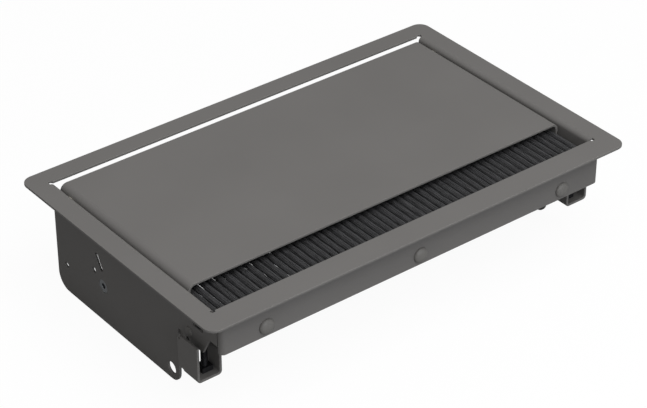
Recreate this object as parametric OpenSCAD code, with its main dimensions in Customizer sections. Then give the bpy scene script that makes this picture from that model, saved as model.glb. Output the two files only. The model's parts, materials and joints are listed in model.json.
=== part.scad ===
// In-desk cable frame: a folded sheet frame that drops into a cut-out in a desk,
// with a tilting lid, a brush strip for the cables and a screw clamp at each front corner.
// X runs along the long side, the brush side faces -Y, Z is up and 0 at the cheeks' lower edges.

/* [Flange] */
// Length of the flange
flange_w = 300; // [260:1:400]
// Depth of the flange
flange_d = 186; // [176:1:220]
// Radius of the flange's outer corners
flange_corner_r = 7; // [3:0.5:10]
// Thickness of the coated sheet
sheet_t = 1.6; // [1.2:0.1:2]
// Inside radius of the folds
bend_r = 1.4; // [0.8:0.1:1.8]
// Width of the flange in front of the opening
front_rim = 16.2; // [15:0.2:18]
// Width of the flange behind the opening
back_rim = 12.8; // [10:0.2:16]
// Width of the flange outside each cheek
side_rim = 12.9; // [11.5:0.1:16]
// Radius of the relief cuts at the opening's corners
relief_r = 1.4; // [1:0.1:2.2]

/* [Cheeks] */
// Height from the cheeks' lower edges to the flange's top
body_h = 70; // [64:1:90]
// Gap between a cheek's back edge and the opening's back edge
cheek_back_gap = 1.5; // [1:0.1:3]
// Radius of a cheek's lower back corner
cheek_back_r = 10; // [4:0.5:14]
// Distance from the flange's front edge to a cheek's nose
nose_set = 49.8; // [45:0.1:52]
// Radius of a cheek's nose
nose_r = 7.5; // [5:0.5:10]
// Diameter of the tie hole in the nose
tie_hole_d = 7.4; // [5:0.2:8]
// Depth below the top of the arm that reaches the front rail
arm_drop = 22; // [21.5:0.5:24]

/* [Front rail] */
// Distance from the flange's front edge to the rail's front face
rail_set = 9; // [7:0.2:9.5]
// Depth below the top of the rail's lower edge
rail_drop = 26.2; // [25:0.2:30]
// Depth below the top of the rail's rivets
rivet_drop = 19.4; // [18:0.2:20]
// Spacing of the rail's rivets
rivet_pitch = 107.5; // [90:0.5:115]
// Diameter of a rivet's shank
rivet_d = 4.8; // [4:0.2:5]
// Diameter of a rivet's head
rivet_head_d = 9.5; // [8:0.5:10]
// Height of a rivet's head
rivet_head_h = 2.4; // [1.5:0.1:3]

/* [Brush] */
// Pitch of the tufts
tuft_pitch = 4.84; // [4.8:0.02:5.4]
// Diameter of a tuft
tuft_d = 4.1; // [3.8:0.1:4.4]
// Free length of the tufts
tuft_len = 39; // [34:0.5:40]
// Strands in the ring of each tuft
ring_strands = 7; // [5:1:7]
// Thickness of a strand
strand_t = 1; // [0.8:0.05:1.1]

/* [Lid] */
// Gap between the lid's sides and the cheeks
lid_side_gap = 1.1; // [0.8:0.1:2]
// Gap between the lid's back edge and the flange
lid_back_gap = 5.1; // [4:0.1:7]
// Distance from the flange's front edge to the lid's front edge
lid_set = 42.1; // [40:0.1:44]
// Inside radius of the lid's side folds
lid_bend_r = 3; // [1.5:0.1:4]
// Depth of the lid's sides
lid_side_h = 10; // [9:0.2:11]
// Distance from the lid's back edge to the hinge axis
pivot_in = 11.1; // [10:0.1:14]
// Depth of the hinge axis below the top
pivot_drop = 8; // [7.5:0.1:9]
// Opening angle of the lid, in degrees
open_angle = 100; // [95:1:105]
// Diameter of the hinge pins
pin_d = 5; // [4:0.1:5.4]

/* [Clamps] */
// Distance from a cheek's inner face to a clamp screw's axis
screw_in = 2.1; // [1.7:0.1:2.5]
// Distance from the flange's front edge to a clamp screw
screw_set = 31; // [30.5:0.1:31.5]
// Diameter of the clamp screws
screw_d = 4; // [3:0.5:4]
// Width of a clamp jaw
jaw_w = 16.2; // [15:0.1:17]
// Depth of a clamp jaw
jaw_d = 18.3; // [16:0.1:19]
// Height of a jaw's outer wall
jaw_h = 23.4; // [20:0.1:26]
// Depth below the top of the left jaw's lower face
jaw_drop_left = 50.6; // [48:0.1:54]
// Depth below the top of the right jaw's lower face
jaw_drop_right = 47.6; // [46:0.1:54]

/* [Hidden] */
$fn = 48;

// Small gaps shared by several pieces
over = 1;            // how far a cut runs past the face it cuts
seat_gap = 0.1;      // between a piece and the seat that carries it
run_gap = 0.05;      // radial, between a pin and its bore
soft_gap = 0.3;      // between a rubber or bristle piece and its neighbour
end_gap = 0.2;       // along the axis, beside a turning piece
seam = 0.6;          // between two sheet edges that meet

// Flange, opening and cheeks
front_y = -flange_d / 2;
open_front = front_y + front_rim;
open_back = flange_d / 2 - back_rim;
fold_r = bend_r + sheet_t;
cheek_out = flange_w / 2 - side_rim;
cheek_in = cheek_out - sheet_t;
fold_x = cheek_in + fold_r;
fold_front = open_front + seam + relief_r / 2;
cheek_back = open_back - cheek_back_gap;
nose_y = front_y + nose_set;

// Front rail and the arm of each cheek that meets it
rail_y = front_y + rail_set;
rail_in = rail_y + sheet_t;
rail_end_r = bend_r + sheet_t;
ear_len = 0.6;
arm_front = rail_y + rail_end_r + ear_len + seam;
rail_leg = 5.9;
rail_bolt_edge = 4;

// Lug below the arm, beside the clamp
lug_edge_in = 6.9;
lug_foot_in = 13.4;
lug_step_in = 21.4;
lug_edge = arm_front + lug_edge_in;
lug_foot = arm_front + lug_foot_in;
lug_step = arm_front + lug_step_in;
lug_drop = 34;
notch_drop = 31;

// Holes for the fittings of a socket strip, counted from a cheek's back edge
slot_in = 44.7;
screw_hole_in = 39.1;
back_hole_in = 9.6;
nut_hole_in = 47.7;
slot_w = 3;
slot_len = 11.5;
slot_tilt = 28;
slot_y = cheek_back - slot_in;
slot_drop = 30;
screw_hole_d = 3.6;
screw_hole_y = cheek_back - screw_hole_in;
screw_hole_drop = 38.4;
back_hole_y = cheek_back - back_hole_in;
back_hole_drop = 51.3;
nut_hole_d = 8.4;
nut_hole_y = cheek_back - nut_hole_in;
nut_hole_drop = 45.1;
nut_rim_d = 10.4;
nut_rim_t = 0.9;
nut_len = 6;
nut_bore_d = 3.4;
nut_recess = 0.4;

// Rail rivets
rivet_tail_d = 7.6;
rivet_tail_h = 1.4;
dome_share = 0.5;
dome_cap = 0.62;

// Brush carrier and backing
carrier_t = 1.1;
carrier_end = 1;
carrier_w = 2 * (cheek_in - carrier_end);
carrier_y = rail_in;
carrier_reach = 1;
carrier_depth = rail_leg - sheet_t + carrier_reach;
carrier_top = sheet_t + sheet_t + seat_gap;
backing_h = 6;
backing_t = 3.9;
slice_t = 0.8;
carrier_low = rivet_drop + rail_bolt_edge;
backing_y = carrier_y + carrier_t + seat_gap;
backing_mid = carrier_top + carrier_t + seat_gap + backing_h / 2;
tuft_y = backing_y + backing_t;
tuft_n = floor((carrier_w - 2 * carrier_t) / tuft_pitch);
tuft_side_share = 0.5;
strand_reach = 1.4;
tip_steps = 3;

// Lid
lid_out = cheek_in - lid_side_gap;
lid_fold_r = lid_bend_r + sheet_t;
lid_front = front_y + lid_set;
lid_back = open_back - lid_back_gap;
pivot_y = lid_back - pivot_in;
lid_nose_cut = 1;
lug_r = 6.5;

// Hinge
pin_head_d = 8;
pin_head_h = 1.6;
bush_wall = 1;
bush_bore = pin_d + 2 * run_gap;
bush_d = bush_bore + 2 * bush_wall;
bush_rim_d = 10;
bush_rim_t = 0.8;
bush_len = 3.2;
clip_d = 9;
clip_t = 0.8;
pin_tip = 1.2;
clip_in = lid_side_gap + bush_len + end_gap;
pin_len = clip_in + clip_t + pin_tip;

// Stop and rest studs
stud_d = 5;
stop_reach = 7;
stud_tip = 2;
stud_len = lid_side_gap + sheet_t + stud_tip;
stop_y = pivot_y - stop_reach;
stop_drop = pivot_drop + stop_reach;
rest_d = 3;
rest_in = 14.9;
rest_y = lid_front + rest_in;
sleeve_d = 5.4;
rest_drop = lid_side_h + soft_gap + sleeve_d / 2;

// Clamps
screw_x = cheek_in - screw_in;
screw_y = front_y + screw_set;
head_d = 7;
head_h = 4;
key_d = 3.5;
key_depth = 2.2;
screw_len = 28;
tab_t = sheet_t;
tab_drop = arm_drop - tab_t;
tab_in = 9.4;
tab_front = 8;
tab_back = 15;
leg_front = 3;
leg_drop = 31;
leg_foot_front = 5;
leg_foot_back = 23;
leg_foot_drop = 36.5;
leg_hole_d = 3;
leg_hole_in = 11.8;
leg_hole_drop = 34.7;
leg_fold_r = 1 + sheet_t;
bracket_rivet_y = screw_y + 7.9;
bracket_rivet_drop = 26.9;
bracket_rivet_d = 3.2;
bracket_head_d = 6;
bracket_head_h = 1;
window_w = 10;
window_h = 5;
jaw_in = 6.4;
jaw_out = jaw_w - jaw_in;
jaw_front = 7.7;
jaw_inner_h = 16.4;
jaw_fold_r = 0.8 + sheet_t;
jaw_floor_d = 13.5;
jaw_top_cut = 3;
nut_w = 7;
nut_h = 3.2;
key_gap = 0.3;

// Colours
coat = "#62605c";
coat_dark = "#5a5855";
zinc = "#b9bbbd";
black = "#1c1c1e";
grey = "#8b8d90";
natural = "#d8d4c8";

// Cuts one rounded corner: the square part lies outside the arc
module corner_cut(r) {
    difference() {
        translate([-over, -over]) square(r + over);
        translate([r, r]) circle(r);
    }
}

module rounded_rect(w, d, r) {
    difference() {
        translate([-w / 2, -d / 2]) square([w, d]);
        for (sx = [0, 1], sy = [0, 1])
            mirror([sx, 0]) mirror([0, sy])
                translate([-w / 2, -d / 2]) corner_cut(r);
    }
}

// Quarter ring: the section of a fold, with its centre at the origin
module fold_section(r_out) {
    intersection() {
        difference() {
            circle(r_out);
            circle(r_out - sheet_t);
        }
        square(r_out);
    }
}

// Stands an outline drawn in Y and Z up as a plate in the YZ plane
module plate_yz(t) {
    rotate([90, 0, 90]) linear_extrude(t) children();
}

// Puts what is drawn from the flange's top at its height
module at_top() {
    translate([0, 0, body_h]) children();
}

// A round bar along +X
module bar_x(d, len) {
    rotate([0, 90, 0]) cylinder(d = d, h = len);
}

module both_sides() {
    for (s = [0, 1]) mirror([s, 0, 0]) children();
}

// Frame

module flange_plan() {
    difference() {
        rounded_rect(flange_w, flange_d, flange_corner_r);
        translate([-fold_x, open_front]) square([2 * fold_x, open_back - open_front]);
        for (s = [-1, 1], y = [open_front, open_back])
            translate([s * (fold_x - relief_r), y]) circle(relief_r);
    }
}

module slot_outline() {
    translate([slot_y, -slot_drop]) rotate(-slot_tilt) {
        square([slot_w, slot_len - slot_w], center = true);
        for (s = [-1, 1]) translate([0, s * (slot_len - slot_w) / 2]) circle(d = slot_w);
    }
}

module cheek_outline() {
    difference() {
        union() {
            translate([nose_y, -body_h]) square([cheek_back - nose_y, body_h - fold_r]);
            translate([fold_front, -arm_drop]) square([nose_y - fold_front, arm_drop - fold_r]);
            translate([arm_front, -arm_drop])
                square([fold_front - arm_front, arm_drop - fold_r - relief_r]);
            polygon([
                [nose_y, -arm_drop], [nose_y, -notch_drop], [lug_step, -notch_drop],
                [lug_step, -lug_drop], [lug_foot, -lug_drop], [lug_edge, -arm_drop]
            ]);
        }
        translate([cheek_back, -body_h]) mirror([1, 0]) corner_cut(cheek_back_r);
        translate([nose_y, -body_h]) corner_cut(nose_r);
        translate([nose_y + nose_r, nose_r - body_h]) circle(d = tie_hole_d);
        slot_outline();
        translate([screw_hole_y, -screw_hole_drop]) circle(d = screw_hole_d);
        translate([back_hole_y, -back_hole_drop]) circle(d = screw_hole_d);
        translate([nut_hole_y, -nut_hole_drop]) circle(d = nut_hole_d);
        translate([pivot_y, -pivot_drop]) circle(d = pin_d);
        translate([stop_y, -stop_drop]) circle(d = stud_d);
        translate([rest_y, -rest_drop]) circle(d = rest_d);
        translate([bracket_rivet_y, -bracket_rivet_drop]) circle(d = bracket_rivet_d);
        translate([screw_y - window_w / 2, -tab_drop - seat_gap])
            square([window_w, window_h + seat_gap]);
    }
}

module frame() {
    color(coat) at_top() {
        translate([0, 0, -sheet_t]) linear_extrude(sheet_t) flange_plan();
        both_sides() {
            translate([cheek_in, 0, 0]) plate_yz(sheet_t) cheek_outline();
            translate([fold_x, cheek_back, -fold_r]) rotate([90, 0, 0])
                linear_extrude(cheek_back - fold_front) mirror([1, 0]) fold_section(fold_r);
        }
    }
}

// Front rail: a wall below the flange with a leg under it and ears at its ends

module rail_plan() {
    translate([rail_end_r - cheek_out, rail_y]) square([2 * (cheek_out - rail_end_r), sheet_t]);
    for (s = [0, 1]) mirror([s, 0]) {
        translate([cheek_out - rail_end_r, rail_y + rail_end_r]) mirror([0, 1])
            fold_section(rail_end_r);
        translate([cheek_in, rail_y + rail_end_r]) square([sheet_t, ear_len]);
    }
}

module front_rail() {
    color(coat_dark) at_top() difference() {
        union() {
            translate([0, 0, -rail_drop]) linear_extrude(rail_drop - sheet_t) rail_plan();
            translate([rail_end_r - cheek_out, rail_y, -2 * sheet_t])
                cube([2 * (cheek_out - rail_end_r), rail_leg, sheet_t]);
        }
        rail_rivet_places() translate([0, -over, 0]) rivet_hole(sheet_t + 2 * over);
        for (s = [-1, 1]) translate([s * (cheek_out - rail_end_r), rail_in, -2 * sheet_t - over])
            cylinder(r = relief_r, h = sheet_t + over);
    }
}

module rail_rivet_places() {
    for (i = [-1 : 1]) translate([i * rivet_pitch, rail_y, -rivet_drop]) children();
}

module rivet_hole(len) {
    rotate([-90, 0, 0]) cylinder(d = rivet_d, h = len);
}

// Low domed head: a straight rim below a bevelled cap
module dome_head(d, h) {
    cylinder(d = d, h = h * dome_share);
    translate([0, 0, h * dome_share])
        cylinder(d1 = d, d2 = d * dome_cap, h = h * (1 - dome_share));
}

module rail_rivets() {
    grip = sheet_t + carrier_t;
    color(grey) at_top() rail_rivet_places() {
        rotate([90, 0, 0]) dome_head(rivet_head_d, rivet_head_h);
        rivet_hole(grip + rivet_tail_h);
        translate([0, grip, 0]) rotate([-90, 0, 0]) dome_head(rivet_tail_d, rivet_tail_h);
    }
}

// Brush

module brush_carrier() {
    gap_h = backing_h + 2 * seat_gap;
    color(black) at_top() difference() {
        rotate([90, 0, 90]) translate([0, 0, -carrier_w / 2]) linear_extrude(carrier_w) {
            translate([carrier_y, -carrier_low]) square([carrier_t, carrier_low - carrier_top]);
            for (drop = [carrier_top + carrier_t, carrier_top + 2 * carrier_t + gap_h])
                translate([carrier_y, -drop]) square([carrier_depth, carrier_t]);
        }
        rail_rivet_places() rivet_hole(sheet_t + carrier_t + over);
    }
}

function tuft_x(i) = (i - (tuft_n - 1) / 2) * tuft_pitch;

// Cross-section of the strand k of a tuft: 0 is its middle, the rest lie in a ring
function strand_at(i, k) =
    k == 0 ? [tuft_x(i), -backing_mid] :
    let (a = 360 * (k + tuft_side_share * (i % 2)) / ring_strands, r = (tuft_d - strand_t) / 2)
    [tuft_x(i) + r * cos(a), -backing_mid + r * sin(a)];

// The strands end at different lengths, and the tufts beside the lid's folded sides stop before it
function tip_len(i) =
    abs(tuft_x(i)) + tuft_d / 2 > lid_out - sheet_t - soft_gap
    ? min(tuft_len, lid_front - soft_gap - tuft_y) : tuft_len;
function strand_len(i, k) = tip_len(i) - strand_reach * (k % tip_steps) / tip_steps;

module strand(at, len) {
    h = strand_t / 2;
    ring = [[-h, 0], [0, -h], [h, 0], [0, h]];
    root = tuft_y - slice_t / 2;
    tip = tuft_y + len;
    polyhedron(
        points = concat(
            [for (p = ring) [at[0] + p[0], root, at[1] + p[1]]],
            [for (p = ring) [at[0] + p[0], tip, at[1] + p[1]]]
        ),
        faces = concat(
            [[0, 2, 1], [0, 3, 2], [4, 5, 6], [4, 6, 7]],
            [for (j = [0 : 3]) [j, (j + 1) % 4, j + 4]],
            [for (j = [0 : 3]) [(j + 1) % 4, (j + 1) % 4 + 4, j + 4]]
        )
    );
}

module brush_bristles() {
    w = tuft_n * tuft_pitch;
    color("#2a2a2c") at_top() {
        translate([-w / 2, tuft_y - backing_t, -backing_mid - backing_h / 2])
            cube([w, backing_t, backing_h]);
        for (i = [0 : tuft_n - 1], k = [0 : ring_strands])
            strand(strand_at(i, k), strand_len(i, k));
    }
}

// Lid

// Angle of the heel's face that meets the stop stud when the lid is open
stop_dist = stop_reach * sqrt(2);
heel_angle = open_angle - 135 + asin((stud_d / 2 + seat_gap) / stop_dist);

module lid_side_outline() {
    heel_x = lid_back - pivot_y;
    difference() {
        union() {
            translate([lid_front, -lid_side_h])
                square([pivot_y - lid_front, lid_side_h - lid_fold_r]);
            translate([pivot_y, -pivot_drop]) circle(lug_r);
            polygon([
                [pivot_y, -pivot_drop], [lid_back, -pivot_drop + heel_x * tan(heel_angle)],
                [lid_back, -lid_fold_r], [pivot_y, -lid_fold_r]
            ]);
        }
        translate([lid_front, -lid_side_h]) corner_cut(lid_nose_cut);
        translate([pivot_y - lug_r, -lid_fold_r]) square([2 * lug_r, lug_r]);
    }
}

module lid() {
    color(coat) at_top() difference() {
        union() {
            translate([lid_fold_r - lid_out, lid_front, -sheet_t])
                cube([2 * (lid_out - lid_fold_r), lid_back - lid_front, sheet_t]);
            both_sides() {
                translate([lid_out - sheet_t, 0, 0]) plate_yz(sheet_t) lid_side_outline();
                translate([lid_out - lid_fold_r, lid_back, -lid_fold_r]) rotate([90, 0, 0])
                    linear_extrude(lid_back - lid_front) fold_section(lid_fold_r);
            }
        }
        both_sides() translate([-lid_out - over, pivot_y, -pivot_drop])
            bar_x(bush_d, sheet_t + 2 * over);
    }
}

// Hinge: a flanged bush in the lid runs on a pin that is riveted in the cheek

module at_pivot() {
    at_top() translate([0, pivot_y, -pivot_drop]) children();
}

module hinge_bush() {
    color(natural) at_pivot() translate([-cheek_in, 0, 0]) difference() {
        union() {
            translate([lid_side_gap - bush_rim_t, 0, 0]) bar_x(bush_rim_d, bush_rim_t);
            translate([lid_side_gap, 0, 0]) bar_x(bush_d, bush_len);
        }
        bar_x(bush_bore, lid_side_gap + bush_len + over);
    }
}

module hinge_pin() {
    color(zinc) at_pivot() translate([-cheek_out, 0, 0]) {
        rotate([0, -90, 0]) dome_head(pin_head_d, pin_head_h);
        bar_x(pin_d, sheet_t + pin_len);
    }
}

module pin_clip() {
    color(grey) at_pivot()
        translate([clip_in - cheek_in, 0, 0]) difference() {
            bar_x(clip_d, clip_t);
            translate([-over, 0, 0]) bar_x(pin_d, clip_t + 2 * over);
        }
}

// Studs pressed into the cheeks: the lid meets one pair when it is open,
// and lies on the other pair's sleeves when it is closed

module stud(d, y, drop, len) {
    translate([-cheek_out, y, -drop]) bar_x(d, sheet_t + len);
}

module stop_studs() {
    color(zinc) at_top() both_sides() stud(stud_d, stop_y, stop_drop, stud_len);
}

module rest_studs() {
    color(zinc) at_top() both_sides() stud(rest_d, rest_y, rest_drop, stud_len);
}

module rest_sleeves() {
    color(black) at_top() both_sides() translate([seat_gap - cheek_in, rest_y, -rest_drop])
        difference() {
            bar_x(sleeve_d, stud_len - 2 * seat_gap);
            translate([-over, 0, 0]) bar_x(rest_d, stud_len + 2 * over);
        }
}

// Rivet nuts for a socket strip's end brackets
module rivet_nuts() {
    color(grey) at_top() both_sides() translate([-cheek_out, nut_hole_y, -nut_hole_drop])
        difference() {
            union() {
                translate([nut_recess, 0, 0]) bar_x(nut_hole_d, nut_len);
                translate([sheet_t, 0, 0]) bar_x(nut_rim_d, nut_rim_t);
            }
            bar_x(nut_bore_d, nut_len + over);
        }
}

// Clamps, drawn at the left and mirrored to the right

module at_screw() {
    at_top() translate([-screw_x, screw_y, 0]) children();
}

module clamp_bracket() {
    wall = screw_x - cheek_in;
    leg_y = leg_front;
    color(coat_dark) at_screw() difference() {
        union() {
            translate([wall + leg_fold_r, -tab_front, -tab_drop - tab_t])
                cube([tab_in - wall - leg_fold_r, tab_front + tab_back, tab_t]);
            translate([wall + seat_gap, -tab_front, -tab_drop - tab_t])
                cube([leg_fold_r, tab_front + leg_y, tab_t]);
            translate([wall, leg_y, -leg_drop])
                cube([sheet_t, tab_back - leg_y, leg_drop - tab_drop - leg_fold_r]);
            translate([wall, leg_foot_front, -leg_foot_drop])
                cube([sheet_t, leg_foot_back - leg_foot_front, leg_foot_drop - leg_drop + over]);
            translate([wall + leg_fold_r, tab_back, -tab_drop - leg_fold_r]) rotate([90, 0, 0])
                linear_extrude(tab_back - leg_y) mirror([1, 0]) fold_section(leg_fold_r);
        }
        translate([0, 0, -tab_drop - tab_t - over])
            cylinder(d = screw_d + 2 * run_gap, h = tab_t + 2 * over);
        translate([wall - over, bracket_rivet_y - screw_y, -bracket_rivet_drop])
            bar_x(bracket_rivet_d, sheet_t + 2 * over);
        translate([wall - over, leg_hole_in, -leg_hole_drop])
            bar_x(leg_hole_d, sheet_t + 2 * over);
    }
}

module bracket_rivets() {
    color(grey) at_top() both_sides()
        translate([-cheek_out, bracket_rivet_y, -bracket_rivet_drop]) {
            rotate([0, -90, 0]) dome_head(bracket_head_d, bracket_head_h);
            bar_x(bracket_rivet_d, 2 * sheet_t + bracket_head_h);
            translate([2 * sheet_t, 0, 0]) rotate([0, 90, 0])
                dome_head(bracket_head_d, bracket_head_h);
        }
}

module clamp_screw() {
    color(zinc) at_screw() translate([0, 0, -tab_drop]) difference() {
        union() {
            translate([0, 0, run_gap]) cylinder(d = head_d, h = head_h);
            translate([0, 0, -screw_len]) cylinder(d = screw_d, h = screw_len + head_h / 2);
        }
        translate([0, 0, head_h + run_gap - key_depth])
            cylinder(d = key_d, h = key_depth + over, $fn = 6);
    }
}

module clamp_jaw(drop) {
    left = -jaw_out;
    color(coat) at_screw() translate([0, -jaw_front, -drop]) difference() {
        union() {
            translate([left + jaw_fold_r, 0, 0]) cube([jaw_w - 2 * jaw_fold_r, jaw_floor_d, sheet_t]);
            translate([left, 0, jaw_fold_r]) cube([sheet_t, jaw_d, jaw_h - jaw_fold_r]);
            translate([left + jaw_w - sheet_t, 0, jaw_fold_r])
                cube([sheet_t, jaw_d, jaw_inner_h - jaw_fold_r]);
            for (s = [0, 1]) translate([left + s * jaw_w, 0, 0]) mirror([s, 0, 0])
                translate([jaw_fold_r, jaw_floor_d, jaw_fold_r]) rotate([90, 180, 0])
                    linear_extrude(jaw_floor_d) fold_section(jaw_fold_r);
        }
        translate([0, jaw_front, -over]) cylinder(d = screw_d + 2 * key_gap, h = sheet_t + 2 * over);
        translate([left - over, jaw_d, jaw_h]) rotate([45, 0, 0])
            cube([sheet_t + 2 * over, 2 * jaw_top_cut, jaw_top_cut], center = true);
    }
}

module clamp_nut(drop) {
    color(zinc) at_screw() translate([0, 0, sheet_t - drop]) difference() {
        translate([-nut_w / 2, -nut_w / 2, 0]) cube([nut_w, nut_w, nut_h]);
        translate([0, 0, -over]) cylinder(d = screw_d + 2 * run_gap, h = nut_h + 2 * over);
    }
}

module to_right() {
    mirror([1, 0, 0]) children();
}

frame();
front_rail();
rail_rivets();
brush_carrier();
brush_bristles();
lid();
hinge_bush();  // hinge_bush_left
to_right() hinge_bush();  // hinge_bush_right
hinge_pin();  // hinge_pin_left
to_right() hinge_pin();  // hinge_pin_right
pin_clip();  // pin_clip_left
to_right() pin_clip();  // pin_clip_right
stop_studs();
rest_studs();
rest_sleeves();
rivet_nuts();
clamp_bracket();  // clamp_bracket_left
to_right() clamp_bracket();  // clamp_bracket_right
bracket_rivets();
clamp_screw();  // clamp_screw_left
to_right() clamp_screw();  // clamp_screw_right
clamp_jaw(jaw_drop_left);  // clamp_jaw_left
to_right() clamp_jaw(jaw_drop_right);  // clamp_jaw_right
clamp_nut(jaw_drop_left);  // clamp_nut_left
to_right() clamp_nut(jaw_drop_right);  // clamp_nut_right
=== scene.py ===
import json
import math
import random

import bpy
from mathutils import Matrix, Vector


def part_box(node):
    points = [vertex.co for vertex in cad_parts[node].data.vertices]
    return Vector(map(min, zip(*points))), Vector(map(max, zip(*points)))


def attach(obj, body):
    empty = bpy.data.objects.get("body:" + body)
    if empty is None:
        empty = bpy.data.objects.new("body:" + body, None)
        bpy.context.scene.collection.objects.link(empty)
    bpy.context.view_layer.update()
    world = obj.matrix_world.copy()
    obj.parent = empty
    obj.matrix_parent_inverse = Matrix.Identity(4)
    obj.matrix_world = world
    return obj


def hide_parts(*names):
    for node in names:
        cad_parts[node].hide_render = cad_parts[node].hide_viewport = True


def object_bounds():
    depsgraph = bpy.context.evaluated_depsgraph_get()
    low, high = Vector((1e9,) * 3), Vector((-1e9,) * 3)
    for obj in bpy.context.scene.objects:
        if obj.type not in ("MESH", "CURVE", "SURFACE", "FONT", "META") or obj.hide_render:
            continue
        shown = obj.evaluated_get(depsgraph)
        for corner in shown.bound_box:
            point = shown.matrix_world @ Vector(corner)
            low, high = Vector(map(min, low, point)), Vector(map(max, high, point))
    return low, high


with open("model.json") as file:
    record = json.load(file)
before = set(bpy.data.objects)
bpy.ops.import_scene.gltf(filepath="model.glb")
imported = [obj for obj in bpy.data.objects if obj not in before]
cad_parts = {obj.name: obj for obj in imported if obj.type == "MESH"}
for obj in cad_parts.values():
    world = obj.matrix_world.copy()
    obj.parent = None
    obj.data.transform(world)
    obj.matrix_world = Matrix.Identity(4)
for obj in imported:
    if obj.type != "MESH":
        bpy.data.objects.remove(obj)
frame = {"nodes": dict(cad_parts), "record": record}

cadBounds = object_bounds()
mm = 0.001
sheetThickness = 1.6 * mm
scene = bpy.context.scene
print("frame loaded:", len(frame["nodes"]), "CAD nodes")


# Helpers for meshes

def linearColour(hexText):
    channels = [int(hexText[i:i + 2], 16) / 255 for i in (1, 3, 5)]
    linear = [c / 12.92 if c <= 0.04045 else ((c + 0.055) / 1.055) ** 2.4 for c in channels]
    return (*linear, 1.0)


def addNode(tree, kind, settings=None, links=None):
    node = tree.nodes.new(kind)
    for name, value in (settings or {}).items():
        if isinstance(name, str) and hasattr(node, name):
            setattr(node, name, value)
        else:
            node.inputs[name].default_value = value
    for name, socket in (links or {}).items():
        tree.links.new(socket, node.inputs[name])
    return node


def addMesh(name, points, faces, material, smooth=True):
    mesh = bpy.data.meshes.new(name)
    mesh.from_pydata(points, [], faces)
    mesh.validate()
    mesh.materials.append(material)
    piece = bpy.data.objects.new(name, mesh)
    scene.collection.objects.link(piece)
    if smooth:
        mesh.polygons.foreach_set("use_smooth", [True] * len(mesh.polygons))
    return piece


def placePiece(piece, body, slot, *nodes):
    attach(piece, body)
    if nodes:
        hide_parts(*nodes)
    return piece


# Joins rings of points into a tube. A ring is a radius, or a function of the angle, and a height.
def turnedMesh(rings, sides, place):
    points = []
    for radius, height in rings:
        for j in range(sides):
            angle = 2 * math.pi * j / sides
            r = radius(angle) if callable(radius) else radius
            points.append(place(r * math.cos(angle), r * math.sin(angle), height))
    faces = []
    for i in range(len(rings) - 1):
        for j in range(sides):
            a = i * sides + j
            b = i * sides + (j + 1) % sides
            faces.append((a, b, b + sides, a + sides))
    faces.append(tuple(range(sides))[::-1])
    faces.append(tuple((len(rings) - 1) * sides + j for j in range(sides)))
    return points, faces


def joinMeshes(parts):
    points, faces = [], []
    for partPoints, partFaces in parts:
        start = len(points)
        points += partPoints
        faces += [tuple(i + start for i in face) for face in partFaces]
    return points, faces


# Camera: fitted to the photo's straight edges, 1.32 m from the middle of the flange

camera = {
    "position": (-0.68934, -0.87256, 0.78009),
    "forward": (0.51503, 0.65436, -0.55368),
    "lens": 127.18,
    "sensor": 36.0,
    "clipStart": 0.05,
}
cameraData = bpy.data.cameras.new("camera")
cameraData.lens = camera["lens"]
cameraData.sensor_width = camera["sensor"]
cameraData.sensor_fit = "HORIZONTAL"
cameraData.clip_start = camera["clipStart"]
cameraObject = bpy.data.objects.new("camera", cameraData)
cameraObject.location = camera["position"]
cameraObject.rotation_euler = Vector(camera["forward"]).to_track_quat("-Z", "Y").to_euler()
scene.collection.objects.link(cameraObject)
scene.camera = cameraObject
scene.view_settings.view_transform = "Standard"
print("camera placed")


# Materials

# Noise seldom leaves this range, so it is the range that is mapped
noiseLow, noiseHigh = 0.3, 0.7


def objectCoordinates(tree, stretch=(1, 1, 1)):
    coordinates = addNode(tree, "ShaderNodeTexCoord")
    return addNode(
        tree, "ShaderNodeMapping",
        {"Scale": stretch}, {"Vector": coordinates.outputs["Object"]},
    ).outputs["Vector"]


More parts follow.
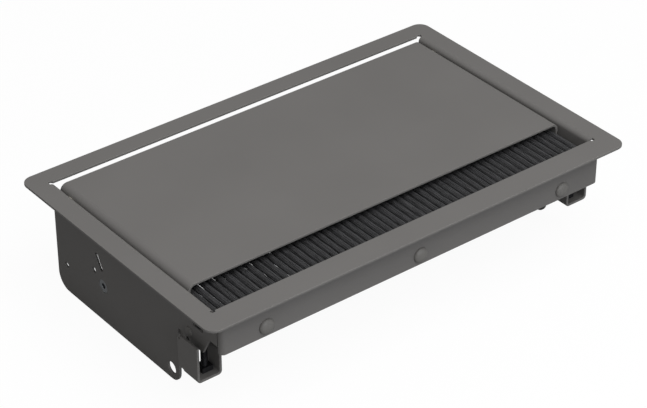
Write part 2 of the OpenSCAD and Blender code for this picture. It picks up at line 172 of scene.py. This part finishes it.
# One finish: a colour that drifts between two tones, a fine grain in the roughness
# and a relief of the same grain
def makeFinish(name, look):
    material = bpy.data.materials.new(name)
    material.use_nodes = True
    tree = material.node_tree
    tree.nodes.clear()
    place = objectCoordinates(tree, look.get("stretch", (1, 1, 1)))
    grain = addNode(
        tree, "ShaderNodeTexNoise",
        {"Scale": 1 / (look["grainMm"] * mm), "Detail": 3.0, "Roughness": 0.6},
        {"Vector": place},
    )
    drift = addNode(
        tree, "ShaderNodeTexNoise",
        {"Scale": 1 / (look["driftMm"] * mm), "Detail": 2.0},
        {"Vector": place},
    )
    tone = addNode(
        tree, "ShaderNodeMix",
        {"data_type": "RGBA", 6: linearColour(look["dark"]), 7: linearColour(look["light"])},
        {0: drift.outputs["Fac"]},
    )
    fleck = addNode(
        tree, "ShaderNodeMapRange",
        {"From Min": noiseLow, "From Max": noiseHigh,
         "To Min": 1 - look["fleck"], "To Max": 1 + look["fleck"]},
        {"Value": grain.outputs["Fac"]},
    )
    colour = addNode(
        tree, "ShaderNodeVectorMath", {"operation": "SCALE"},
        {0: tone.outputs[2], "Scale": fleck.outputs["Result"]},
    )
    roughness = addNode(
        tree, "ShaderNodeMapRange",
        {"From Min": noiseLow, "From Max": noiseHigh,
         "To Min": look["roughness"][0], "To Max": look["roughness"][1]},
        {"Value": grain.outputs["Fac"]},
    )
    relief = addNode(
        tree, "ShaderNodeBump",
        {"Strength": look["relief"], "Distance": look["reliefMm"] * mm},
        {"Height": grain.outputs["Fac"]},
    )
    shader = addNode(
        tree, "ShaderNodeBsdfPrincipled",
        {"Metallic": look.get("metallic", 0.0), "IOR": look.get("ior", 1.5),
         "Specular IOR Level": look.get("specular", 0.5)},
        {"Base Color": colour.outputs["Vector"], "Roughness": roughness.outputs["Result"],
         "Normal": relief.outputs["Normal"]},
    )
    addNode(tree, "ShaderNodeOutputMaterial", None, {"Surface": shader.outputs["BSDF"]})
    return material


# Polyester powder coat with a fine sand texture: matt, warm dark grey. The real grain is
# 0.2 mm; it is drawn at 0.5 mm so that it shows.
powderCoatLook = {
    "dark": "#6c6a68", "light": "#747270", "fleck": 0.05,
    "grainMm": 0.5, "driftMm": 60, "roughness": (0.5, 0.64),
    "relief": 0.35, "reliefMm": 0.05, "ior": 1.5, "specular": 0.35,
}
# The same coat over a turned rivet head, where it flows smoother
coatedRivetLook = dict(
    powderCoatLook, dark="#6e6c69", light="#787673", relief=0.15, roughness=(0.4, 0.5),
)
# Crimped black nylon filament: dark, with a soft shine along its length
filamentLook = {
    "dark": "#404041", "light": "#4c4c4e", "fleck": 0.25, "stretch": (1, 0.15, 1),
    "grainMm": 0.4, "driftMm": 9, "roughness": (0.42, 0.6),
    "relief": 0.3, "reliefMm": 0.05, "ior": 1.53,
}
# The same filament in the gaps between the tufts, drawn darker than it is, so that the gaps
# read as shadow
innerFilamentLook = dict(filamentLook, dark="#0e0e0f", light="#171718")
# Extruded black PVC, with the fine lines of its die along X
extrusionLook = {
    "dark": "#161617", "light": "#1d1d1f", "fleck": 0.12, "stretch": (0.03, 1, 1),
    "grainMm": 0.4, "driftMm": 30, "roughness": (0.35, 0.5),
    "relief": 0.3, "reliefMm": 0.03, "ior": 1.52,
}
# Natural moulded nylon: off-white and slightly waxy
nylonLook = {
    "dark": "#cfc9b8", "light": "#dcd7c8", "fleck": 0.03,
    "grainMm": 0.3, "driftMm": 6, "roughness": (0.38, 0.48),
    "relief": 0.1, "reliefMm": 0.02, "ior": 1.53,
}
# Bright zinc plate over cold-headed steel: bluish, with faint drawing marks
zincLook = {
    "dark": "#a9adb2", "light": "#c3c6c8", "fleck": 0.06,
    "grainMm": 0.35, "driftMm": 5, "roughness": (0.24, 0.4),
    "relief": 0.12, "reliefMm": 0.02, "metallic": 1.0,
}
# Black oxide on screw steel: nearly black, with a dull satin shine
blackOxideLook = {
    "dark": "#28282a", "light": "#333335", "fleck": 0.12,
    "grainMm": 0.3, "driftMm": 4, "roughness": (0.42, 0.58),
    "relief": 0.15, "reliefMm": 0.02, "metallic": 0.7,
}
# Phosphated spring steel: dark grey and oily
phosphateLook = {
    "dark": "#3b3c3e", "light": "#48494b", "fleck": 0.12,
    "grainMm": 0.3, "driftMm": 5, "roughness": (0.38, 0.55),
    "relief": 0.15, "reliefMm": 0.02, "metallic": 0.8,
}
# Moulded EPDM sleeve: matt black rubber
rubberLook = {
    "dark": "#1b1b1b", "light": "#242424", "fleck": 0.1,
    "grainMm": 0.3, "driftMm": 5, "roughness": (0.6, 0.75),
    "relief": 0.2, "reliefMm": 0.03, "ior": 1.5,
}

powderCoat = makeFinish("powderCoat", powderCoatLook)
coatedRivet = makeFinish("coatedRivet", coatedRivetLook)
nylonFilament = makeFinish("nylonFilament", filamentLook)
innerFilament = makeFinish("innerFilament", innerFilamentLook)
blackExtrusion = makeFinish("blackExtrusion", extrusionLook)
naturalNylon = makeFinish("naturalNylon", nylonLook)
zincPlate = makeFinish("zincPlate", zincLook)
blackOxide = makeFinish("blackOxide", blackOxideLook)
phosphatedSteel = makeFinish("phosphatedSteel", phosphateLook)
blackRubber = makeFinish("blackRubber", rubberLook)

finishOfSlot = {
    "powder_coat": powderCoat,
    "coated_rivet": coatedRivet,
    "bristle": nylonFilament,
    "black_plastic": blackExtrusion,
    "natural_nylon": naturalNylon,
    "zinc_steel": zincPlate,
    "black_steel": blackOxide,
    "spring_steel": phosphatedSteel,
    "black_rubber": blackRubber,
}
print("materials made:", len(finishOfSlot))


# Finishes and edges of the CAD nodes: powder coat rounds every cut edge

edges = {
    "widthMm": {
        "powder_coat": 0.35, "zinc_steel": 0.15, "black_steel": 0.15, "black_plastic": 0.15,
        "natural_nylon": 0.15, "spring_steel": 0.12, "black_rubber": 0.3, "coated_rivet": 0.12,
    },
    "segments": 3,
    "sharpAngle": 40,
    "flatAngle": 0.5,
    "weldMm": 0.002,
    "normalWeight": 100,
}


# The small brackets have edges shorter than the round, so theirs is held within the edge
def roundEdges(piece, widthMm, narrow=False):
    weld = piece.modifiers.new("weld", "WELD")
    weld.merge_threshold = edges["weldMm"] * mm
    flats = piece.modifiers.new("flats", "DECIMATE")
    flats.decimate_type = "DISSOLVE"
    flats.angle_limit = math.radians(edges["flatAngle"])
    bevel = piece.modifiers.new("edges", "BEVEL")
    bevel.width = widthMm * mm
    bevel.segments = edges["segments"]
    bevel.limit_method = "ANGLE"
    bevel.angle_limit = math.radians(edges["sharpAngle"])
    bevel.use_clamp_overlap = narrow
    bevel.miter_outer = "MITER_ARC"
    normals = piece.modifiers.new("normals", "WEIGHTED_NORMAL")
    normals.weight = edges["normalWeight"]
    normals.keep_sharp = True


for entry in frame["record"]["subparts"]:
    node = frame["nodes"][entry["node"]]
    slotName = entry["material_slot"]
    for materialSlot in node.material_slots:
        materialSlot.link = "OBJECT"
        materialSlot.material = finishOfSlot[slotName]
    if slotName in edges["widthMm"]:
        roundEdges(node, edges["widthMm"][slotName], "bracket" in entry["node"])
print("CAD nodes finished")


# Brush: every tuft is a bundle of crimped filaments, rooted in the backing bar

brush = {
    "tuftPitchMm": 4.84,
    "tuftRadiusMm": 2.05,
    "tuftRimMm": 0.28,
    "placeJitterMm": 0.05,
    "rootDepthMm": 0.4,
    "endGapMm": 0.3,
    "filaments": 84,
    "filamentMm": 0.36,
    "sides": 5,
    "stepsAlong": 7,
    "waveMm": 0.10,
    "waves": (2.0, 3.4),
    "tipShare": 0.55,
    "tipSpreadMm": 0.18,
    "tipStaggerMm": 1.2,
    "cutStaggerMm": 0.2,
    "looseFilaments": 12,
    "looseLowMm": 2.5,
    "looseHighMm": 0.1,
    "looseAcrossMm": (0.06, 0.4),
    "looseStaggerMm": (0.2, 2),
    "seed": 11,
}
backingBar = {
    "depthMm": 3.9,
    "cornerMm": 0.8,
    "cornerSteps": 4,
}
# Angle between neighbours in sunflower packing, and one full turn to two decimals
goldenAngle = 2.39996
roundTurn = 6.28
tuftPitch = brush["tuftPitchMm"] * mm
endGap = brush["endGapMm"] * mm
brushLow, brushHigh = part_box("brush_bristles")
lidLow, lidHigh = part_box("lid")
backingDepth = backingBar["depthMm"] * mm


def filamentMesh(rng, centre, start, end):
    sides = brush["sides"]
    radius = brush["filamentMm"] * mm / 2
    wave = brush["waveMm"] * mm
    spread = brush["tipSpreadMm"] * mm
    phaseX, phaseZ = rng.uniform(0, roundTurn), rng.uniform(0, roundTurn)
    cycles = rng.uniform(*brush["waves"])
    driftX, driftZ = rng.uniform(-1, 1) * spread, rng.uniform(-1, 1) * spread
    points, faces = [], []
    steps = brush["stepsAlong"]
    for i in range(steps + 1):
        t = i / steps
        y = start + (end - start) * t
        x = centre[0] + driftX * t * t + wave * math.sin(phaseX + cycles * roundTurn * t)
        z = centre[1] + driftZ * t * t + wave * math.sin(phaseZ + cycles * roundTurn * t)
        r = radius * (1 if i < steps else brush["tipShare"])
        for j in range(sides):
            angle = 2 * math.pi * j / sides
            points.append((x + r * math.cos(angle), y, z + r * math.sin(angle)))
    for i in range(steps):
        for j in range(sides):
            a, b = i * sides + j, i * sides + (j + 1) % sides
            faces.append((a, a + sides, b + sides, b))
    faces.append(tuple(range(sides)))
    faces.append(tuple(steps * sides + j for j in range(sides))[::-1])
    return points, faces


def buildBrush():
    rng = random.Random(brush["seed"])
    count = round((brushHigh.x - brushLow.x) / tuftPitch)
    middle = (brushLow.z + brushHigh.z) / 2
    root = brushLow.y + backingDepth - brush["rootDepthMm"] * mm
    lidSide = lidHigh.x - sheetThickness - endGap
    tuftRadius = (brush["tuftRadiusMm"] - brush["tuftRimMm"]) * mm
    jitter = brush["placeJitterMm"]
    acrossLeast, acrossMore = brush["looseAcrossMm"]
    parts, inner = [], []
    for i in range(count):
        tuftX = (i - (count - 1) / 2) * tuftPitch
        reach, stagger = brushHigh.y, brush["tipStaggerMm"] * mm
        for k in range(brush["filaments"]):
            # sunflower packing fills the round tuft evenly
            r = tuftRadius * math.sqrt((k + 0.5) / brush["filaments"])
            angle = k * goldenAngle + i
            centre = (
                tuftX + r * math.cos(angle) + rng.uniform(-1, 1) * jitter * mm,
                middle + r * math.sin(angle) + rng.uniform(-1, 1) * jitter * mm,
            )
            end = reach - rng.uniform(0, stagger)
            # filaments in line with the lid's folded side stop in front of it
            if lidSide < abs(centre[0]) < lidHigh.x + endGap:
                end = lidLow.y - endGap - rng.uniform(0, brush["cutStaggerMm"]) * mm
            parts.append(filamentMesh(rng, centre, root, end))
        # loose filaments stand one below the other in the gap beside the tuft and close it
        for k in range(brush["looseFilaments"] if i < count - 1 else 0):
            share = k / (brush["looseFilaments"] - 1)
            drop = brush["looseLowMm"] - brush["looseHighMm"]
            low = -(brush["looseHighMm"] + share * drop) * mm
            across = rng.uniform(-1, 1) * (acrossLeast + acrossMore * share) * mm
            centre = (tuftX + tuftPitch / 2 + across, middle + low)
            end = reach - rng.uniform(*brush["looseStaggerMm"]) * mm
            inner.append(filamentMesh(rng, centre, root, end))
    points, faces = joinMeshes(inner)
    placePiece(addMesh("brushInnerFilaments", points, faces, innerFilament), "base", "bristle")
    points, faces = joinMeshes(parts)
    tufts = addMesh("brushTufts", points, faces, nylonFilament)
    placePiece(tufts, "base", "bristle", "brush_bristles")
    return count


def buildBacking():
    low = Vector((brushLow.x, brushLow.y, brushLow.z))
    high = Vector((brushHigh.x, brushLow.y + backingDepth, brushHigh.z))
    corner = backingBar["cornerMm"] * mm
    steps = backingBar["cornerSteps"]
    section = []
    for cy, cz, start in (
        (high.y - corner, high.z - corner, 0), (low.y + corner, high.z - corner, 90),
        (low.y + corner, low.z + corner, 180), (high.y - corner, low.z + corner, 270),
    ):
        for step in range(steps + 1):
            angle = math.radians(start + 90 / steps * step)
            section.append((cy + corner * math.cos(angle), cz + corner * math.sin(angle)))
    n = len(section)
    points = [(x, y, z) for x in (low.x, high.x) for y, z in section]
    faces = [(i, (i + 1) % n, (i + 1) % n + n, i + n) for i in range(n)]
    faces += [tuple(range(n))[::-1], tuple(range(n, 2 * n))]
    bar = addMesh("brushBacking", points, faces, blackExtrusion, smooth=False)
    placePiece(bar, "base", "bristle")


print("brush tufts:", buildBrush())
buildBacking()


# Rivet heads: the bevelled caps of the solids become smooth domes

rivet = {
    "railHead": (9.5, 2.4), "railTail": (7.6, 1.4), "railShankMm": 4.8,
    "bracketHead": (6.0, 1.0), "bracketShankMm": 3.2,
    "steps": 9, "sides": 40, "rimMm": 0.35, "fullness": 0.8, "tipMm": 0.05, "splitAngle": 50,
}


# Rings of a dome of a given width and height that stands on height 0
def domeRings(size, direction=1, start=0.0):
    radius, height = size[0] * mm / 2, size[1] * mm
    rim = rivet["rimMm"] * mm
    rings = [(radius, start)]
    for k in range(rivet["steps"] + 1):
        angle = math.pi / 2 * k / rivet["steps"]
        rings.append((max(radius * math.cos(angle) ** rivet["fullness"], rivet["tipMm"] * mm),
                      start + direction * (rim + (height - rim) * math.sin(angle))))
    return rings


def buildRivets(name, node, slot, places, head, tail, shankMm, grip):
    parts = []
    for place in places:
        rings = domeRings(head, -1)[::-1] + [(shankMm * mm / 2, 0.0), (shankMm * mm / 2, grip)]
        rings += domeRings(tail, 1, grip)
        parts.append(turnedMesh(rings, rivet["sides"], place))
    points, faces = joinMeshes(parts)
    piece = addMesh(name, points, faces, coatedRivet)
    edgeSplit = piece.modifiers.new("edges", "EDGE_SPLIT")
    edgeSplit.split_angle = math.radians(rivet["splitAngle"])
    placePiece(piece, "base", slot, node)


def railPlace(atX, atZ, faceY):
    return lambda x, y, z: (atX + x, faceY + z, atZ + y)


def sidePlace(side, atY, atZ, faceX):
    return lambda x, y, z: (side * (faceX - z), atY + side * x, atZ + y)


def buildAllRivets():
    low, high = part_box("rail_rivets")
    headHeight = rivet["railHead"][1] * mm
    grip = high.y - low.y - headHeight - rivet["railTail"][1] * mm
    span = (high.x - low.x) / 2 - rivet["railHead"][0] * mm / 2
    middle = (low.z + high.z) / 2
    places = [railPlace(i * span, middle, low.y + headHeight) for i in (-1, 0, 1)]
    buildRivets("railRivetDomes", "rail_rivets", "coated_rivet", places,
                rivet["railHead"], rivet["railTail"], rivet["railShankMm"], grip)
    low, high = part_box("bracket_rivets")
    faceX = high.x - rivet["bracketHead"][1] * mm
    atY, atZ = (low.y + high.y) / 2, (low.z + high.z) / 2
    places = [sidePlace(side, atY, atZ, faceX) for side in (-1, 1)]
    buildRivets("bracketRivetDomes", "bracket_rivets", "coated_rivet", places,
                rivet["bracketHead"], rivet["bracketHead"], rivet["bracketShankMm"],
                2 * sheetThickness)


buildAllRivets()
print("rivets made")


# Clamp screws: M4 socket head screws with a cut thread

screw = {
    "pitchMm": 0.7,
    "threadDepthMm": 0.43,
    "rowsPerPitch": 6,
    "sides": 28,
    "headSides": 48,
    "headHeightMm": 4.0,
    "headRadiusMm": 3.5,
    "shankRadiusMm": 2.0,
    "keyMm": 3.0,
    "keyDepthMm": 2.2,
    "knurlMm": 0.09,
    "chamferMm": 0.35,
    "mouthShare": 1.28,
    "mouthDepthMm": 0.25,
    "drillTipMm": (0.3, 0.4),
    "runOutShare": 0.9,
    "intoHeadMm": 0.3,
}


def threadedShank(place, bottom, top):
    pitch = screw["pitchMm"] * mm
    major = screw["shankRadiusMm"] * mm
    depth = screw["threadDepthMm"] * mm
    rows = int((top - bottom) / pitch * screw["rowsPerPitch"])
    rings = []
    for i in range(rows + 1):
        height = bottom + (top - bottom) * i / rows
        fromEnd = min(height - bottom, top - height) / pitch
        fade = max(0.0, min(1.0, 1 - fromEnd))

        def radius(angle, height=height, fade=fade):
            turn = (height / pitch - angle / (2 * math.pi)) % 1.0
            flank = abs(2 * turn - 1)
            return major - depth * flank * (1 - fade) - depth * screw["runOutShare"] * fade
        rings.append((radius, height))
    return turnedMesh(rings, screw["sides"], place)


def socketHead(place, seat):
    head = screw["headRadiusMm"] * mm
    height = screw["headHeightMm"] * mm
    sides = screw["headSides"]
    apothem = screw["keyMm"] * mm / 2

    def knurled(angle):
        return head - screw["knurlMm"] * mm * (round(angle / (2 * math.pi) * sides) % 2)

    def hexagon(angle):
        return apothem / math.cos((angle + math.pi / 6) % (math.pi / 3) - math.pi / 6)

    chamfer = screw["chamferMm"] * mm
    depth = screw["keyDepthMm"] * mm
    tipRadius, tipDepth = (size * mm for size in screw["drillTipMm"])
    top = seat + height
    rings = [
        (screw["shankRadiusMm"] * mm, seat), (head - chamfer, seat), (knurled, seat + chamfer),
        (knurled, top - 2 * chamfer), (head - chamfer, top),
        (apothem * screw["mouthShare"], top), (hexagon, top - screw["mouthDepthMm"] * mm),
        (hexagon, top - depth), (tipRadius, top - depth - tipDepth),
    ]
    return turnedMesh(rings, sides, place)


def buildScrew(side, name):
    low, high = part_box("clamp_screw_" + side)
    axis = (low + high) / 2

    def place(x, y, z):
        return (axis.x + x, axis.y + y, z)

    seat = high.z - screw["headHeightMm"] * mm
    shankTop = seat + screw["intoHeadMm"] * mm
    parts = [threadedShank(place, low.z, shankTop), socketHead(place, seat)]
    points, faces = joinMeshes(parts)
    piece = addMesh(name, points, faces, blackOxide, smooth=False)
    placePiece(piece, "screw_" + side, "black_steel", "clamp_screw_" + side)


for side, name in (("left", "clampScrewLeft"), ("right", "clampScrewRight")):
    buildScrew(side, name)
print("clamp screws cut")


# Floor and world: white to the camera, plain grey to the light that reaches the object

stage = {
    "floorMm": 6000,
    "floorGapMm": 0.2,
    "floorGrey": "#8c8c8c",
    "seenWhite": 1.0,
    "shadowShare": 0.05,
    "worldLight": 0.34,
}


def cameraSees(tree):
    path = addNode(tree, "ShaderNodeLightPath")
    first = addNode(
        tree, "ShaderNodeMath", {"operation": "MAXIMUM"},
        {0: path.outputs["Is Camera Ray"], 1: path.outputs["Is Transmission Ray"]},
    )
    return first.outputs[0]


def buildFloor():
    material = bpy.data.materials.new("floorPaper")
    material.use_nodes = True
    tree = material.node_tree
    tree.nodes.clear()
    paper = addNode(tree, "ShaderNodeBsdfDiffuse", {"Color": linearColour(stage["floorGrey"])})
    white = addNode(
        tree, "ShaderNodeEmission", {"Color": (1, 1, 1, 1), "Strength": stage["seenWhite"]},
    )
    whitePaper = addNode(tree, "ShaderNodeBsdfDiffuse", {"Color": (1, 1, 1, 1)})
    seen = addNode(
        tree, "ShaderNodeMixShader", {"Fac": stage["shadowShare"]},
        {1: white.outputs[0], 2: whitePaper.outputs[0]},
    )
    mixed = addNode(
        tree, "ShaderNodeMixShader", None,
        {"Fac": cameraSees(tree), 1: paper.outputs[0], 2: seen.outputs[0]},
    )
    addNode(tree, "ShaderNodeOutputMaterial", None, {"Surface": mixed.outputs[0]})
    half = stage["floorMm"] * mm / 2
    below = cadBounds[0][2] - stage["floorGapMm"] * mm
    corners = [(x * half, y * half, below) for x, y in ((-1, -1), (1, -1), (1, 1), (-1, 1))]
    floor = addMesh("floor", corners, [(0, 1, 2, 3)], material, smooth=False)


def buildWorld():
    world = bpy.data.worlds.new("studio")
    scene.world = world
    world.use_nodes = True
    tree = world.node_tree
    tree.nodes.clear()
    ambient, white = (
        addNode(tree, "ShaderNodeBackground", {"Color": (1, 1, 1, 1), "Strength": stage[name]})
        for name in ("worldLight", "seenWhite")
    )
    mixed = addNode(
        tree, "ShaderNodeMixShader", None,
        {"Fac": cameraSees(tree), 1: ambient.outputs[0], 2: white.outputs[0]},
    )
    addNode(tree, "ShaderNodeOutputWorld", None, {"Surface": mixed.outputs[0]})


# Soft boxes: a wide one above, and a larger, slightly cool one farther off in front

lights = {
    "above": {"at": (0.0, -0.6, 1.3), "size": 1.1, "power": 13.8, "colour": "#ffffff"},
    "front": {"at": (-0.1, -2.2, 0.3), "size": 1.6, "power": 22.5, "colour": "#f6faff"},
}
lightTarget = (0, 0, 0.05)


def buildLights():
    target = Vector(lightTarget)
    for name, light in lights.items():
        data = bpy.data.lights.new(name, "AREA")
        data.shape = "SQUARE"
        data.size = light["size"]
        data.energy = light["power"]
        data.color = linearColour(light["colour"])[:3]
        lamp = bpy.data.objects.new(name, data)
        lamp.location = light["at"]
        lamp.rotation_euler = (target - Vector(light["at"])).to_track_quat("-Z", "Y").to_euler()
        scene.collection.objects.link(lamp)


buildFloor()
buildWorld()
buildLights()
print("stage lit")
